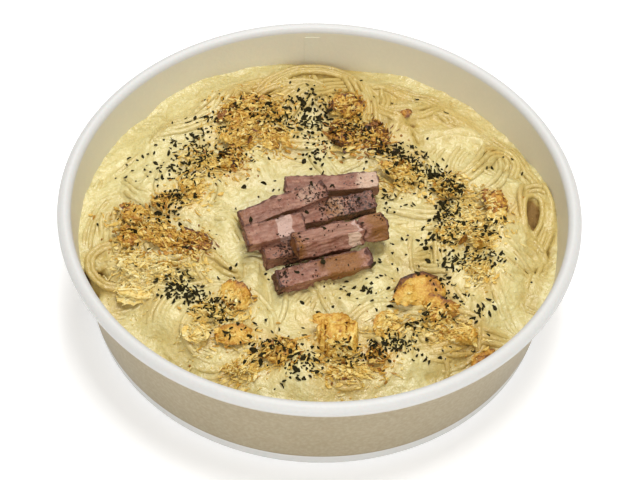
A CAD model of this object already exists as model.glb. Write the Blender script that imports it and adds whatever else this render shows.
"""Looks for the spaghetti carbonara in its round paper bowl.

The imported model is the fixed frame. Every piece here stands for one or more of its solids, or lies
loose on the food. Sizes are in millimetres, and MM turns them into metres.
"""

import math

import bpy
import numpy as np
from mathutils import Matrix, Vector, noise
from mathutils.bvhtree import BVHTree


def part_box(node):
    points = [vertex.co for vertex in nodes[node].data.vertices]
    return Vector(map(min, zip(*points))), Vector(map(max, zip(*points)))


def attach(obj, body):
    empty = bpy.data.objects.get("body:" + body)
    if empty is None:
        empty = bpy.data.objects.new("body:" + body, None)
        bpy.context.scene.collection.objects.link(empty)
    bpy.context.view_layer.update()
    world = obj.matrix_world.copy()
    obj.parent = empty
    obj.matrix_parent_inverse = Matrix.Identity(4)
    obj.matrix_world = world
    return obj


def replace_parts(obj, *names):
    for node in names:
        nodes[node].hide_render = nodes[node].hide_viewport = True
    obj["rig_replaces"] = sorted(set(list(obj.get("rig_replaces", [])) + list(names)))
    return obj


MM = 0.001
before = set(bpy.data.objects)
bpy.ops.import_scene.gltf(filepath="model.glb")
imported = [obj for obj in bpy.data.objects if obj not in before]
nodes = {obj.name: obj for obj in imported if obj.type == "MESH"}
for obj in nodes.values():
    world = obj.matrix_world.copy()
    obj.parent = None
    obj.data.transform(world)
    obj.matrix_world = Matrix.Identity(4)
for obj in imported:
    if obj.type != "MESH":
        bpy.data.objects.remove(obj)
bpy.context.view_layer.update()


# Studio -----------------------------------------------------------------------------------------
# A pale floor that glows a little, even light all round, a soft lamp overhead, a small one behind
# for glints and a wide one low in front. The camera looks down from the front through a long lens.

CAMERA_TARGET = (0.5, -2.4, 25.0)
CAMERA_DISTANCE = 700.0
CAMERA_ELEVATION = 48.8
CAMERA_ROLL = 2.5
LENS = 109.6
FLOOR_SIZE = 6.0
FLOOR_DROP = 0.2             # how far the floor lies under the dish's foot
FLOOR_GLOW = 0.27
WORLD_BRIGHTNESS = 0.42
# name, place in metres, size in metres, power in watts
LAMPS = (
    ("key", (0.10, 0.08, 1.35), 0.5, 11.0),
    ("glint", (-0.05, 0.80, 0.95), 0.25, 3.2),
    ("fill", (0.05, -1.20, 0.75), 0.9, 8.0),
)


def linear(red, green, blue):
    """A colour named by its screen values, 0 to 255, as the linear values that shaders take."""
    shares = [value / 255.0 for value in (red, green, blue)]
    return tuple(s / 12.92 if s <= 0.04045 else ((s + 0.055) / 1.055) ** 2.4 for s in shares)


camera = bpy.data.objects.new("camera", bpy.data.cameras.new("camera"))
bpy.context.scene.collection.objects.link(camera)
camera.data.lens = LENS
tilt = math.radians(90.0 - CAMERA_ELEVATION)
camera.matrix_world = (Matrix.Translation(Vector(CAMERA_TARGET) * MM)
                       @ Matrix.Rotation(tilt, 4, "X")
                       @ Matrix.Rotation(math.radians(CAMERA_ROLL), 4, "Z")
                       @ Matrix.Translation((0.0, 0.0, CAMERA_DISTANCE * MM)))
bpy.context.scene.camera = camera
bpy.context.scene.view_settings.view_transform = "Standard"

world = bpy.data.worlds.new("studio")
world.use_nodes = True
world.node_tree.nodes["Background"].inputs["Color"].default_value = (1.0, 1.0, 1.0, 1.0)
world.node_tree.nodes["Background"].inputs["Strength"].default_value = WORLD_BRIGHTNESS
bpy.context.scene.world = world

for name, place, size, power in LAMPS:
    lamp = bpy.data.objects.new(name, bpy.data.lights.new(name, "AREA"))
    lamp.data.size = size
    lamp.data.energy = power
    lamp.location = place
    lamp.rotation_euler = (-Vector(place)).to_track_quat("-Z", "Y").to_euler()
    bpy.context.scene.collection.objects.link(lamp)

bpy.ops.mesh.primitive_plane_add(size=FLOOR_SIZE, location=(0.0, 0.0, -FLOOR_DROP * MM))
floor = bpy.context.object
floor.name = "floor"
floor_material = bpy.data.materials.new("pale floor")
floor_material.use_nodes = True
floor_shader = floor_material.node_tree.nodes["Principled BSDF"]
floor_shader.inputs["Base Color"].default_value = (0.93, 0.93, 0.93, 1.0)
floor_shader.inputs["Roughness"].default_value = 0.9
floor_shader.inputs["Emission Color"].default_value = (1.0, 1.0, 1.0, 1.0)
floor_shader.inputs["Emission Strength"].default_value = FLOOR_GLOW
floor.data.materials.append(floor_material)


# Paper bowl -------------------------------------------------------------------------------------
# Coated paper: a tapered side wall with a seam at the back, its top edge rolled outwards into a
# bead and its foot folded up round the flange of the base disc. A beige print covers the wall but
# not the bead or the foot.

RIM_RADIUS = 92.5
BOWL_HEIGHT = 44.5
BASE_RADIUS = 82.3
PAPER = 0.5
ROLL_RADIUS = 2.5
ROLL_STEPS = 20
ROLL_TIP_ANGLE = -135.0
HEM_BEND = 0.9
HEM_BEND_STEPS = 6
HEM_WIDTH = 1.6
HEM_TOP = 4.2
BASE_HEIGHT = 5.5
FLANGE_FOOT = 1.0
BOWL_STEPS = 240
SEAM_ANGLE = 92.0
SEAM_WIDTH = 6.0
SEAM_STEPS = 8
SEAM_HEIGHTS = (BASE_HEIGHT + 1.0, BOWL_HEIGHT - 4.0)
SEAM_THICKNESS = 0.3
WALL_STOPS = (38.0, 30.0, 22.0, 14.0, 7.0, 3.0)
SAME_PLACE = 0.00001         # vertices nearer than this, in metres, are merged
SHARP_ANGLE = 40.0           # edges sharper than this many degrees stay hard
PRINT_FOOT = 5.2             # height at which the print starts, above the bare foot
BEAD_SHADE_FOOT = 40.2       # between these heights the outside of the bead turns from grey to white
BEAD_SHADE_TOP = 42.2


class Signal:
    """An output of a material's nodes. Arithmetic on it adds Math nodes."""

    def __init__(self, finish, socket):
        self.finish = finish
        self.socket = socket

    def maths(self, operation, first, second):
        return self.finish.node("ShaderNodeMath", {"operation": operation},
                                {"Value": first, "Value_001": second})

    def __add__(self, other):
        return self.maths("ADD", self, other)

    def __radd__(self, other):
        return self.maths("ADD", other, self)

    def __sub__(self, other):
        return self.maths("SUBTRACT", self, other)

    def __rsub__(self, other):
        return self.maths("SUBTRACT", other, self)

    def __mul__(self, other):
        return self.maths("MULTIPLY", self, other)

    def __pow__(self, other):
        return self.maths("POWER", self, other)


class Finish:
    """A material in the making: a Principled shader, and the nodes that feed it."""

    def __init__(self, name, constants):
        self.material = bpy.data.materials.new(name)
        self.material.use_nodes = True
        self.tree = self.material.node_tree
        self.shader = self.tree.nodes["Principled BSDF"]
        for socket, value in constants.items():
            self.shader.inputs[socket].default_value = value

    def node(self, kind, settings, inputs, output=None):
        """Adds a node: settings first, then the values or links of its sockets by identifier."""
        made = self.tree.nodes.new(kind)
        for setting, value in settings.items():
            if setting == "stops":
                self.set_stops(made.color_ramp, value)
            else:
                setattr(made, setting, value)
        for socket in made.inputs:
            if socket.identifier in inputs:
                self.feed(socket, inputs[socket.identifier])
        if output is None:
            return Signal(self, next(socket for socket in made.outputs if socket.enabled))
        return Signal(self, made.outputs[output])

    def set_stops(self, ramp, stops):
        while len(ramp.elements) < len(stops):
            ramp.elements.new(1.0)
        for element, (position, colour) in zip(ramp.elements, stops):
            element.position = position
            element.color = (*colour, 1.0)

    def feed(self, socket, value):
        if isinstance(value, Signal):
            self.tree.links.new(value.socket, socket)
        elif isinstance(value, tuple) and socket.type == "RGBA":
            socket.default_value = (*value, 1.0)
        else:
            socket.default_value = value

    def place(self):
        """Object coordinates in millimetres."""
        coordinates = self.node("ShaderNodeTexCoord", {}, {}, "Object")
        return self.node("ShaderNodeVectorMath", {"operation": "MULTIPLY"},
                         {"Vector": coordinates, "Vector_001": (1.0 / MM,) * 3}, "Vector")

    def vertex(self, name):
        """A value that the mesh carries at its vertices."""
        return self.node("ShaderNodeAttribute", {"attribute_name": name}, {}, "Fac")

    def noise(self, size, detail):
        """Even noise from 0 to 1 whose patches are about size millimetres across."""
        return self.node("ShaderNodeTexNoise", {}, {"Vector": self.place(),
                                                    "Scale": 1.0 / size, "Detail": detail}, "Fac")

    def rise(self, value, low, high):
        """0 where the value is under low, 1 where it is over high, and smooth between."""
        return self.node("ShaderNodeMapRange", {"interpolation_type": "SMOOTHSTEP"},
                         {"Value": value, "From Min": low, "From Max": high}, "Result")

    def mix(self, share, first, second):
        """The first colour where the share is 0, and the second where it is 1."""
        return self.node("ShaderNodeMix", {"data_type": "RGBA"},
                         {"Factor_Float": share, "A_Color": first, "B_Color": second})

    def ramp(self, value, stops):
        return self.node("ShaderNodeValToRGB", {"stops": stops}, {"Fac": value}, "Color")

    def bump(self, height, distance, below=None):
        """A normal raised by a height from 0 to 1 that stands for distance millimetres."""
        inputs = {"Height": height, "Distance": distance * MM}
        if below:
            inputs["Normal"] = below
        return self.node("ShaderNodeBump", {}, inputs, "Normal")

    def use(self, colour, roughness, normal):
        """Joins what changes over the surface to the shader, and gives the material."""
        for socket, value in (("Base Color", colour), ("Roughness", roughness), ("Normal", normal)):
            self.feed(self.shader.inputs[socket], value)
        return self.material


def wall_middle(z):
    """Radius of the middle of the side wall's paper at a height."""
    foot = BASE_RADIUS - PAPER / 2
    top = RIM_RADIUS - 2 * ROLL_RADIUS + PAPER / 2
    return foot + (top - foot) * (z - HEM_BEND) / (BOWL_HEIGHT - ROLL_RADIUS - HEM_BEND)


def arc(centre, radius, start, end, steps):
    """Points along an arc in the profile's plane, with its angles in degrees."""
    angles = [math.radians(start + (end - start) * step / steps) for step in range(steps + 1)]
    return [(centre[0] + radius * math.cos(angle), centre[1] + radius * math.sin(angle))
            for angle in angles]


def only(obj):
    """Makes the object the only one that is selected, and the active one."""
    bpy.ops.object.select_all(action="DESELECT")
    obj.select_set(True)
    bpy.context.view_layer.objects.active = obj


def apply_modifiers(obj):
    only(obj)
    for modifier in list(obj.modifiers):
        bpy.ops.object.modifier_apply(modifier=modifier.name)


def smooth(obj, sharp=None):
    """Shades an object smooth, but for the edges sharper than an angle in degrees."""
    only(obj)
    if sharp is None:
        bpy.ops.object.shade_smooth()
    else:
        bpy.ops.object.shade_smooth_by_angle(angle=math.radians(sharp))


def add_piece(name, points, faces):
    """A new mesh object from points in millimetres."""
    mesh = bpy.data.meshes.new(name)
    mesh.from_pydata((np.asarray(points, float) * MM).tolist(), [], [list(face) for face in faces])
    obj = bpy.data.objects.new(name, mesh)
    bpy.context.scene.collection.objects.link(obj)
    return obj


def turn_sheet(name, profile):
    """Turns the middle line of a paper sheet round the bowl's axis and gives it its thickness."""
    mesh = bpy.data.meshes.new(name)
    points = [(radius * MM, 0.0, height * MM) for radius, height in profile]
    mesh.from_pydata(points, [(i, i + 1) for i in range(len(points) - 1)], [])
    sheet = bpy.data.objects.new(name, mesh)
    bpy.context.scene.collection.objects.link(sheet)
    only(sheet)
    bpy.ops.object.mode_set(mode="EDIT")
    bpy.ops.mesh.select_all(action="SELECT")
    bpy.ops.mesh.spin(steps=BOWL_STEPS, angle=math.tau, center=(0.0, 0.0, 0.0),
                      axis=(0.0, 0.0, 1.0))
    bpy.ops.mesh.select_all(action="SELECT")
    bpy.ops.mesh.remove_doubles(threshold=SAME_PLACE)
    bpy.ops.mesh.normals_make_consistent(inside=False)
    bpy.ops.object.mode_set(mode="OBJECT")
    thickness = sheet.modifiers.new("paper", "SOLIDIFY")
    thickness.thickness = PAPER * MM
    thickness.offset = 0.0
    thickness.use_even_offset = True
    apply_modifiers(sheet)
    smooth(sheet, SHARP_ANGLE)
    return sheet


def dress(obj, material, slot, *replaced):
    """Gives a piece its one material, its record slot and its place on the dish."""
    obj.data.materials.clear()
    obj.data.materials.append(material)
    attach(obj, "root")
    if replaced:
        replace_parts(obj, *replaced)


def paper_material():
    """Coated paper: white at the bead and foot, with a beige print between them."""
    paper = Finish("coated paper", {"Coat Weight": 0.1, "Coat Roughness": 0.35,
                                    "Subsurface Weight": 0.05, "Subsurface Scale": 0.001})
    place = paper.place()
    parts = paper.node("ShaderNodeSeparateXYZ", {}, {"Vector": place}, "X")
    height = Signal(paper, parts.socket.node.outputs["Z"])
    across = Signal(paper, parts.socket.node.outputs["Y"])
    radius = (parts ** 2.0 + across ** 2.0) ** 0.5
    over_foot = paper.rise(height, PRINT_FOOT - 0.1, PRINT_FOOT + 0.1)
    under_bead = 1.0 - paper.rise(height, BOWL_HEIGHT - 4.6, BOWL_HEIGHT - 4.2)
    inner = wall_middle(0.0) - PAPER / 2 + 0.05
    slope = (wall_middle(BOWL_HEIGHT) - wall_middle(0.0)) / BOWL_HEIGHT
    inside = 1.0 - paper.rise(radius - height * slope, inner - 0.05, inner + 0.05)
    top_inside = inside * (1.0 - paper.rise(height, BOWL_HEIGHT - 2.3, BOWL_HEIGHT - 1.9))
    printed = over_foot * paper.node("ShaderNodeMath", {"operation": "MAXIMUM"},
                                     {"Value": under_bead, "Value_001": top_inside})
    fibres = paper.noise(1.3, 4.0)
    mottle = paper.noise(18.0, 2.0)
    inner_print = paper.mix(mottle, linear(216, 211, 190), linear(210, 204, 182))
    outer_print = paper.mix(mottle, linear(151, 136, 104), linear(145, 130, 98))
    beige = paper.mix(inside, outer_print, inner_print)
    beige = paper.mix(paper.rise(fibres, 0.3, 0.8) * 0.12, beige, linear(232, 224, 200))
    white = paper.mix(fibres, linear(206, 205, 201), linear(199, 197, 192))
    tucked = (1.0 - inside) * over_foot * (1.0 - paper.rise(height, BEAD_SHADE_FOOT, BEAD_SHADE_TOP))
    white = paper.mix(tucked, white, linear(172, 161, 145))
    line = paper.rise(height, PRINT_FOOT + 0.1, PRINT_FOOT + 0.2)
    line = line * (1.0 - paper.rise(height, PRINT_FOOT + 0.45, PRINT_FOOT + 0.6)) * (1.0 - inside)
    colour = paper.mix(line * 0.6, paper.mix(printed, white, beige), linear(120, 100, 70))
    roughness = 0.42 + mottle * 0.16
    normal = paper.bump(fibres, 0.05)
    return paper.use(colour, roughness, normal)


roll_centre = (RIM_RADIUS - ROLL_RADIUS, BOWL_HEIGHT - ROLL_RADIUS)
side_profile = arc(roll_centre, ROLL_RADIUS - PAPER / 2, ROLL_TIP_ANGLE, 180.0, ROLL_STEPS)
side_profile += [(wall_middle(height), height) for height in WALL_STOPS]
hem_bend = HEM_WIDTH / 2
hem_centre = (wall_middle(HEM_BEND) - hem_bend, PAPER / 2 + hem_bend)
side_profile += arc(hem_centre, hem_bend, 0.0, -180.0, HEM_BEND_STEPS)
side_profile.append((wall_middle(HEM_TOP) - HEM_WIDTH, HEM_TOP))
corner = wall_middle(BASE_HEIGHT) - hem_bend
base_profile = [(0.0, BASE_HEIGHT), (40.0, BASE_HEIGHT), (corner - 0.9, BASE_HEIGHT)]
base_profile += [(corner - 0.2, BASE_HEIGHT - 0.25), (corner, BASE_HEIGHT - 0.9)]
base_profile.append((wall_middle(FLANGE_FOOT) - hem_bend, FLANGE_FOOT))

coated_paper = paper_material()
bowl_wall = turn_sheet("bowl_wall", side_profile)
dress(bowl_wall, coated_paper, "coated_paper", "bowl_side")
bowl_floor = turn_sheet("bowl_floor", base_profile)
dress(bowl_floor, coated_paper, "coated_paper", "bowl_base")

seam_points = []
for height in SEAM_HEIGHTS:
    for step in range(SEAM_STEPS + 1):
        turn = math.radians(SEAM_ANGLE) + SEAM_WIDTH * step / SEAM_STEPS / RIM_RADIUS
        radius = wall_middle(height) - PAPER / 2 - 0.1
        seam_points.append((radius * math.cos(turn), radius * math.sin(turn), height))
seam_faces = [(step, step + SEAM_STEPS + 1, step + SEAM_STEPS + 2, step + 1)
              for step in range(SEAM_STEPS)]
bowl_seam = add_piece("bowl_seam", seam_points, seam_faces)
flap = bowl_seam.modifiers.new("flap", "SOLIDIFY")
flap.thickness = SEAM_THICKNESS * MM
flap.offset = 0.0
apply_modifiers(bowl_seam)
dress(bowl_seam, coated_paper, "coated_paper")


# Spaghetti in its sauce -------------------------------------------------------------------------
# Boiled spaghetti in curling bundles under a thick egg and cheese cream, which buries most strands
# and runs off those that stand up at the wall. The level of the food comes from the two solids
# that it replaces; the strands are laid one by one on what lies under them.

HALF = 90.0                  # half the side of the raster that holds levels over the dish
CELL = 0.3                   # one cell of it
STRAND = 1.1                 # radius of a strand
STRAND_STEP = 1.0            # distance between the rings of a strand
STRAND_SIDES = 8
PITCH = 2.25                 # between neighbouring strands of a loose bundle
WALL_CLEARANCE = 0.3
LOOSE_BUNDLES = 130
WALL_DIP = 1.4               # how far loose strands dip under the cream where it meets the wall
WALL_DIP_FROM = 72.0         # the distance from the middle where that starts
DEEPEST = 1.8                # how far under the food's level the cream fills the gaps
MOST_COVER = 0.97            # how thick the cream lies before patches and bundles thin it
SHARP_BLUR = 0.3             # how far the strands' relief is blurred where they are bare
SOFT_BLUR = 0.55             # under thin cream
BROAD_BLUR = 2.2             # and under thick cream
WALL_CREEP = 0.8             # how far the cream climbs where it meets the wall
WALL_CREEP_REACH = 1.2
# Lumps in the cream: how high and how wide they are.
CREAM_LUMPS = ((0.35, 8.0), (0.26, 2.2), (0.18, 1.0))
# How thick the cream lies, from 0 to 1, and how far its surface then is over the strands' tops.
COVER_STEPS = (0.0, 0.55, 1.0)
COVER_LEVELS = (-0.95, 0.0, 0.45)
THIN = COVER_STEPS[1]
SURFACE_CELLS = 300          # cells along each side of the surface's grid
FOOD_FLOOR = BASE_HEIGHT + PAPER / 2 + 0.1
HEAP_SHARP_ANGLE = 60.0
LEVEL_CELL = 3.0             # between the places where the solids' level is measured
LEVEL_EDGE = 82.0            # the farthest of them from the middle
HEAP_SEED = 11
LOOSE_REACH = 84.0           # how far from the middle loose strands may lie
LOOSE_LENGTHS = (45.0, 95.0)
LOOSE_BENDS = (9.0, 45.0)    # radii of their curls
LOOSE_DIVE = 2.5             # how far the ends of strands go down
BUNDLE_DIVE = 2.4
DIVE_REACH = 4.0
BARE_REACH = 4.0             # how far round a strand of a bundle the cream is thinner
SHOWS_FROM = 0.08            # how far a strand has to stand out of the cream to be a tube

# Where the cream is thinner all over: x, y, reach and amount.
THIN_PATCHES = (
    (0.0, 70.0, 26.0, 0.26),
    (62.0, 30.0, 22.0, 0.10),
    (60.0, -46.0, 20.0, 0.14),
    (-72.0, -18.0, 18.0, 0.12),
    (-22.0, -24.0, 12.0, 0.12),
    (30.0, -16.0, 14.0, 0.08),
    (3.0, -39.0, 14.0, 0.22),
    (34.0, 50.0, 18.0, 0.20),
    (44.0, 60.0, 26.0, 0.24),
    (-4.0, 78.0, 22.0, 0.42),
)

# Holes between the bundles: x, y, reach along x, reach along y, depth and how dark they are.
HOLES = (
    (76.8, 9.6, 2.2, 4.4, 6.0, 0.86),
    (77.0, 5.0, 1.2, 2.6, 4.0, 0.76),
    (78.1, 22.4, 1.1, 1.5, 3.5, 0.60),
    (81.9, -4.6, 0.9, 3.4, 6.0, 0.60),
    (-2.5, 76.6, 8.5, 1.1, 3.2, 0.34),
    (32.5, 51.3, 2.2, 1.3, 3.2, 0.42),
    (-77.8, -35.6, 1.9, 2.8, 7.0, 0.60),
    (-75.8, -26.8, 1.5, 2.6, 4.5, 0.50),
    (-4.0, 86.0, 24.0, 4.6, 3.4, 0.0),
)

# Oil that tints the cream: x, y, reach along x, reach along y and amount.
OIL = (
    (65.0, 38.5, 7.0, 1.6, 1.0),
    (34.0, 62.0, 46.0, 24.0, 0.40),
    (36.0, -2.0, 16.0, 18.0, 0.22),
)
OIL_REACH = 1.45             # round each fried piece, as a share of its half width

# Narrow clefts in the cream and between strands: width, depth and the points along them.
CLEFTS = (
    (0.9, 3.6, ((-24, 60), (-20, 63), (-15, 64.6), (-9, 65.6), (-3, 65))),
    (0.8, 2.4, ((83, -10), (80, -14), (76, -17), (72, -18), (65, -16))),
    (0.7, 1.0, ((67, -22), (71.5, -20), (76, -19))),
    (1.3, 5.5, ((-77, -24), (-75.6, -27), (-73.4, -29.2))),
    (1.0, 6.0, ((-81.4, -25), (-79.6, -30.4), (-77.8, -34.6), (-76, -38))),
    (1.7, 4.0, ((-78.4, -32.6), (-76.2, -35.4))),
    (2.4, 0.9, ((-30, 4), (-28, -8), (-24, -16), (-20, -23), (-17, -32), (-16, -44))),
    (0.9, 1.2, ((-50, -22), (-47, -26), (-44, -28.5), (-40, -30.5))),
    (0.7, 1.0, ((-41, -14), (-36, -20), (-31.5, -24.2), (-27, -25))),
    (0.7, 0.9, ((40, 60), (45, 57), (50, 52))),
    (0.8, 1.1, ((32, 48), (34, 44), (36, 39))),
    (0.7, 0.9, ((56, -33), (58, -38), (57, -44))),
    (1.2, 1.1, ((57, 31), (60, 36), (66, 39), (71, 37))),
)

# Bundles that stand out: strands beside each other, the step from one to the next, the lift over
# the food's level, how bare of cream they are, and the points that the first strand follows.
BUNDLES = (
    (4, 2.2, -0.4, 0.42, ((-40, 62), (-38, 66), (-34, 69), (-29, 71), (-23, 73), (-17, 75))),
    (3, 2.2, 0.8, 0.75, ((-27, 64), (-23, 71), (-17, 76), (-10, 80), (-1, 81.5), (6, 80), (11, 76),
                         (13, 68))),
    (2, 2.2, 1.2, 0.66, ((-29, 60), (-24, 65), (-17, 68), (-10, 69.4), (-4, 69), (0, 67), (3, 63))),
    (4, 2.1, 0.6, 0.48, ((-21, 57), (-17, 61), (-11, 65), (-7, 67), (-1, 67))),
    (2, 2.2, 0.5, 0.33, ((-14, 54), (-10, 60), (-5, 64), (1, 65))),
    (3, -2.1, 0.4, 0.38, ((18, 69), (20, 63), (19, 57), (17, 51))),
    (3, 2.2, 0.2, 0.30, ((25, 75), (32, 70), (40, 69), (48, 65))),
    (2, 2.1, 0.6, 0.33, ((30, 54), (26, 53), (22, 51), (18, 48))),
    (2, -2.1, 0.7, 0.33, ((30, 49), (32.5, 45), (34.5, 40))),
    (2, 2.2, 0.7, 0.36, ((39, 62), (44, 59), (48, 55), (51, 50))),
    (2, 2.2, 0.5, 0.33, ((42, 64), (48, 62), (54, 57), (59, 52))),
    (3, 2.1, 0.7, 0.33, ((56, 28), (58, 35), (62, 40), (67, 42), (71, 40), (73, 34), (71, 27))),
    (2, 2.1, 0.4, 0.39, ((65, 48), (72, 44), (75, 38), (77, 32), (78, 27))),
    (1, 2.1, 1.7, 0.48, ((74, 24), (72, 17), (72, 9), (73, 1), (76, -6))),
    (1, -2.1, 2.3, 0.58, ((76, -6), (74.4, 0), (73.4, 8), (74.2, 14), (77, 16.4), (79.8, 15),
                          (80.4, 9), (79.4, 4), (77.2, -1), (77, -6))),
    (2, -2.1, 1.9, 0.53, ((75, 19), (78, 21), (82, 19), (83, 12), (82, 5), (80, -2), (77, -8))),
    (2, 2.1, 0.5, 0.45, ((77, 26), (83, 26), (86, 21), (86, 12), (85, 3), (83, -5))),
    (1, 2.1, 1.1, 0.34, ((63, -17), (65, -10), (69, -5), (75, -3), (80, -6), (82, -11))),
    (1, 2.1, 1.1, 0.33, ((66.5, -17), (68, -11), (72, -7.5), (77, -8), (79, -13))),
    (1, 2.1, 1.0, 0.33, ((70, -17), (71, -12), (73, -10.6), (76, -13), (74, -16))),
    (3, 2.1, 0.2, 0.43, ((83, -8), (81, -14), (79, -20), (77, -27), (75, -34))),
    (3, 2.2, 0.4, 0.34, ((50, -46), (57, -46), (63, -46), (70, -47))),
    (2, 2.1, 0.5, 0.33, ((54, -57), (54, -50), (54, -44), (55, -37))),
    (1, 2.1, 0.6, 0.36, ((58, -31), (59, -28), (61, -27.6), (62.4, -30), (61, -33), (58.6, -32.4))),
    (2, 2.1, 0.6, 0.36, ((38, -46), (39, -51), (45, -55), (50, -54), (56, -51))),
    (3, 2.1, 0.5, 0.34, ((30, -57), (36, -55), (41, -56), (45, -61), (44, -67))),
    (2, -2.1, 0.3, 0.24, ((-71, 12), (-77, 10), (-80, 7), (-82, 1), (-83, -5), (-83, -13), (-82, -20))),
    (1, -2.1, 0.5, 0.24, ((-71, 4), (-75, 4), (-78, 1), (-78, -4), (-77, -10))),
    (1, 2.1, 0.4, 0.33, ((-68, -2), (-72, 0), (-75, -1))),
    (2, -1.9, 1.7, 0.48, ((-67, -15), (-73, -14), (-78, -16), (-80.6, -20), (-80, -26),
                          (-77.5, -30), (-74, -33),
                          (-70, -34), (-65, -34))),
    (1, 2.1, 0.9, 0.33, ((-71, -18), (-74, -19), (-75.4, -21.5), (-75.4, -24))),
    (1, 2.1, 1.2, 0.43, ((-41, -12), (-37, -18), (-33, -22), (-29, -24), (-25, -22))),
    (1, 2.1, 1.1, 0.43, ((-37, -21), (-32, -25.5), (-28, -27), (-24, -25))),
    (3, 2.0, 0.7, 0.31, ((-40, -32), (-44, -26), (-45, -20), (-43, -15), (-39, -11))),
    (1, 2.1, 0.5, 0.31, ((-80, 17), (-70, 28), (-64, 35), (-57, 46))),
    (1, 2.1, 0.5, 0.33, ((-2, -38), (2, -34), (6, -33), (10, -34), (8, -37.4), (3, -37.4))),
    (3, 2.1, 0.4, 0.31, ((23, -13), (28, -11.6), (32, -13.6), (36, -13), (40, -9.6))),
    (3, -2.1, 0.3, 0.27, ((17, -4), (23, -6), (28, -11), (30, -18))),
    (2, 2.1, 0.2, 0.25, ((-3, -73), (5, -70), (11, -71.5), (17, -70), (24, -72))),
    (2, 2.1, 0.2, 0.25, ((-52, -52), (-46, -60), (-38, -67))),
)

side_cells = int(2 * HALF / CELL) + 1
lines = np.linspace(-HALF, HALF, side_cells)
GRID_X, GRID_Y = np.meshgrid(lines, lines)
grid_radius = np.hypot(GRID_X, GRID_Y)


def blur(field, spread):
    """A raster smoothed over a distance in millimetres."""
    waves = np.fft.fftfreq(side_cells, CELL)
    damping = np.exp(-2.0 * (math.pi * spread * waves) ** 2)
    return np.fft.ifft2(np.fft.fft2(field) * damping[:, None] * damping[None, :]).real


def lumps(spread, draws):
    """An even random raster with lumps of a size, of mean 0 and deviation 1."""
    field = blur(draws.standard_normal((side_cells, side_cells)), spread)
    return (field - field.mean()) / field.std()


def sample(field, x, y):
    """The raster's value at places in millimetres, between its cells too."""
    column = np.clip((np.asarray(x) + HALF) / CELL, 0.0, side_cells - 1.001)
    row = np.clip((np.asarray(y) + HALF) / CELL, 0.0, side_cells - 1.001)
    left = column.astype(int)
    low = row.astype(int)
    right = column - left
    up = row - low
    bottom = field[low, left] * (1.0 - right) + field[low, left + 1] * right
    top = field[low + 1, left] * (1.0 - right) + field[low + 1, left + 1] * right
    return bottom * (1.0 - up) + top * up


def patch(x, y, reach_x, reach_y):
    """A smooth bump of height 1 on the raster."""
    return np.exp(-((GRID_X - x) / reach_x) ** 2 - ((GRID_Y - y) / reach_y) ** 2)


def shifted(faces, first):
    """Faces whose points are numbered from a later one on."""
    return [tuple(first + index for index in face) for face in faces]


def tree_of(*objects):
    """The surfaces of objects whose places are in their meshes, for finding what lies below."""
    points = []
    faces = []
    for obj in objects:
        start = len(points)
        points += [vert.co[:] for vert in obj.data.vertices]
        faces += shifted([face.vertices for face in obj.data.polygons], start)
    return BVHTree.FromPolygons(points, faces)


def drop(tree, x, y):
    """Where a line straight down meets a surface, in metres, and which way the surface faces."""
    return tree.ray_cast(Vector((x, y, 2.0 * BOWL_HEIGHT)) * MM, Vector((0.0, 0.0, -1.0)))[:2]


def food_level():
    """The level of the food's top over the raster, from the solids of the pasta and the cream."""
    tree = tree_of(nodes["pasta"], nodes["cream"])
    places = np.arange(-HALF, HALF + LEVEL_CELL, LEVEL_CELL)
    known = np.zeros((len(places), len(places)))
    for row, y in enumerate(places):
        for column, x in enumerate(places):
            inwards = min(1.0, LEVEL_EDGE / max(math.hypot(x, y), 1.0))
            known[row, column] = drop(tree, x * inwards, y * inwards)[0].z / MM
    wide = np.empty((len(places), side_cells))
    for row in range(len(places)):
        wide[row] = np.interp(lines, places, known[row])
    level = np.empty((side_cells, side_cells))
    for column in range(side_cells):
        level[:, column] = np.interp(lines, places, wide[:, column])
    return blur(level, 2.0)


def along_curve(points, step):
    """Places a step apart along a smooth curve through the points."""
    ends = np.array([points[0]] + list(points) + [points[-1]], float)
    share = np.linspace(0.0, 1.0, 24, endpoint=False)[:, None]
    parts = []
    for before, start, end, after in zip(ends, ends[1:], ends[2:], ends[3:]):
        parts.append(0.5 * (2.0 * start + (end - before) * share
                            + (2.0 * before - 5.0 * start + 4.0 * end - after) * share ** 2
                            + (3.0 * start - before - 3.0 * end + after) * share ** 3))
    dense = np.vstack(parts + [ends[-1:]])
    run = np.concatenate([[0.0], np.cumsum(np.hypot(*np.diff(dense, axis=0).T))])
    stops = np.arange(0.0, run[-1], step)
    return np.column_stack([np.interp(stops, run, dense[:, axis]) for axis in range(2)])


def smooth_line(values, reach):
    """A moving mean over a strand, its ends held."""
    padded = np.pad(values, reach, mode="edge")
    return np.convolve(padded, np.ones(2 * reach + 1) / (2 * reach + 1), mode="valid")


def beside(path, offset):
    """The path moved sideways, to its right where the offset is above 0."""
    ahead = np.gradient(path, axis=0)
    ahead /= np.linalg.norm(ahead, axis=1)[:, None] + 1e-9
    return path + np.column_stack([ahead[:, 1], -ahead[:, 0]]) * np.reshape(offset, (-1, 1))


def keep_in_bowl(path, z):
    """Moves what would be in the wall inwards until it lies against it."""
    radius = np.hypot(path[:, 0], path[:, 1])
    limit = wall_middle(z) - PAPER / 2 - STRAND - WALL_CLEARANCE
    return path * np.minimum(1.0, limit / np.maximum(radius, 1.0))[:, None]


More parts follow.
